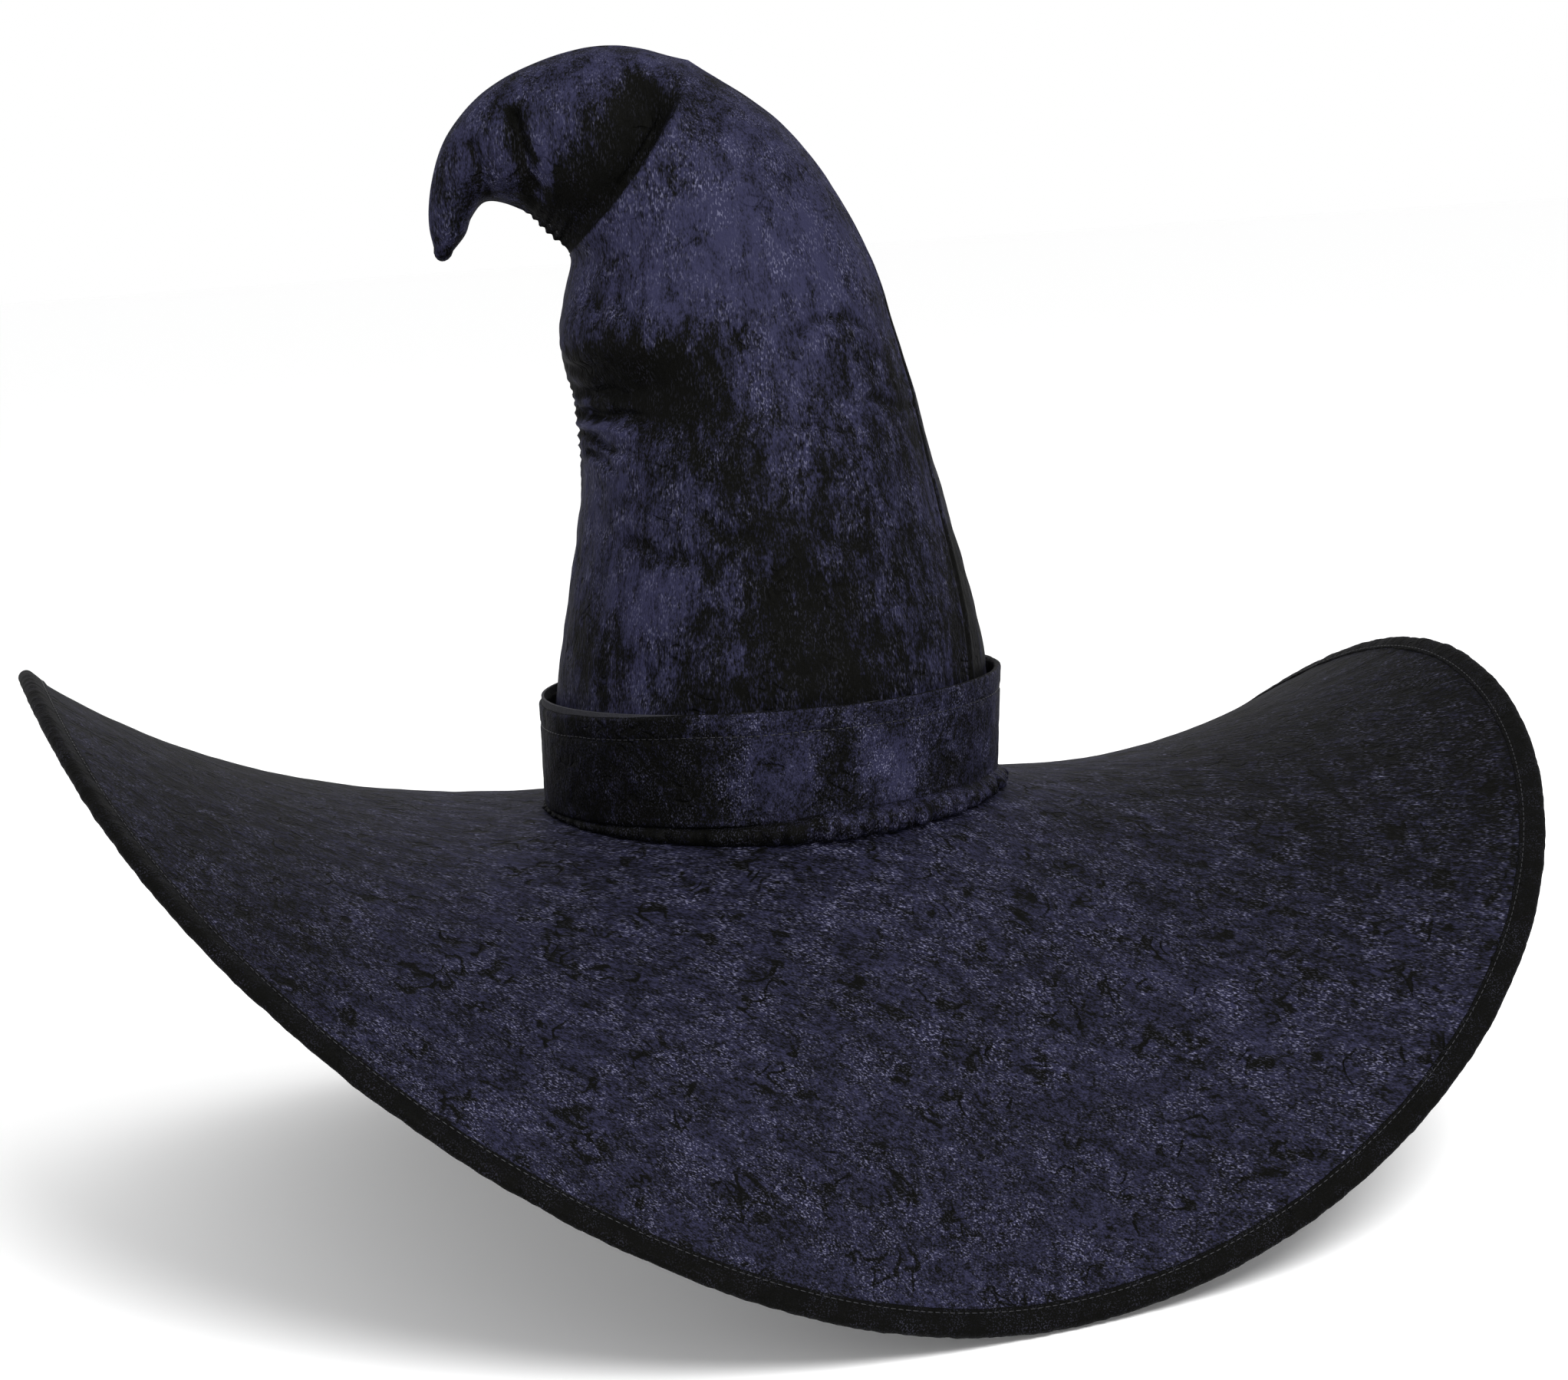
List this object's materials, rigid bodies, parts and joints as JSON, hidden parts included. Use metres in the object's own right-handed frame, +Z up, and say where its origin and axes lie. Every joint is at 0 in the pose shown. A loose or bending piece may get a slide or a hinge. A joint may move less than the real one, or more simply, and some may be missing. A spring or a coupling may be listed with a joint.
{
  "type": "witch hat",
  "caption": "Wide-brimmed pointed witch hat in dark crushed velvet, with a wired brim, a turned-up band and a gathered crown whose tip curls over.",
  "frame": {"origin": "centre of the head opening, at the line where the crown meets the brim", "axes": "+Z up the crown, +X toward the back seam (the brim's long way), -X toward the curled tip"},
  "size_m": [0.6679, 0.6087, 0.5071],
  "materials": {
    "crushed_velvet": "matte",
    "binding_tape": "matte",
    "foam": "matte",
    "stiffener": "matte",
    "ribbon": "satin",
    "elastic": "matte",
    "spring_steel": "satin"
  },
  "bodies": {
    "hat_base": {"brim_foam_core": "foam", "brim_top_velvet": "crushed_velvet", "brim_under_velvet": "crushed_velvet", "brim_edge_binding": "binding_tape", "brim_wire": "spring_steel", "brim_wire_ferrule": "spring_steel", "crown_base_roll": "crushed_velvet", "band_outer_velvet": "crushed_velvet", "band_stiffener": "stiffener", "band_inner_velvet": "crushed_velvet", "sweatband": "ribbon", "lower_crown_velvet_near": "crushed_velvet", "lower_crown_velvet_far": "crushed_velvet", "lower_crown_foam_near": "foam", "lower_crown_foam_far": "foam", "lower_crown_elastic": "elastic"},
    "crown_upper": {"upper_crown_velvet_near": "crushed_velvet", "upper_crown_velvet_far": "crushed_velvet", "upper_crown_foam_near": "foam", "upper_crown_foam_far": "foam", "upper_crown_elastic": "elastic"},
    "crown_tip": {"tip_velvet_near": "crushed_velvet", "tip_velvet_far": "crushed_velvet", "tip_foam_near": "foam", "tip_foam_far": "foam", "tip_elastic": "elastic", "tip_wadding": "foam"}
  },
  "joints": [
    {"name": "crown_lean", "type": "hinge", "parent": "hat_base", "child": "crown_upper", "pos_m": [0.0755, 0, 0.171], "axis": [0, 1, 0], "range_deg": [0, 10], "stiffness_Nm_per_rad": 0.3},
    {"name": "tip_flop", "type": "hinge", "parent": "crown_upper", "child": "crown_tip", "pos_m": [-0.014, 0, 0.321], "axis": [0, 1, 0], "range_deg": [0, 25], "stiffness_Nm_per_rad": 0.05}
  ]
}
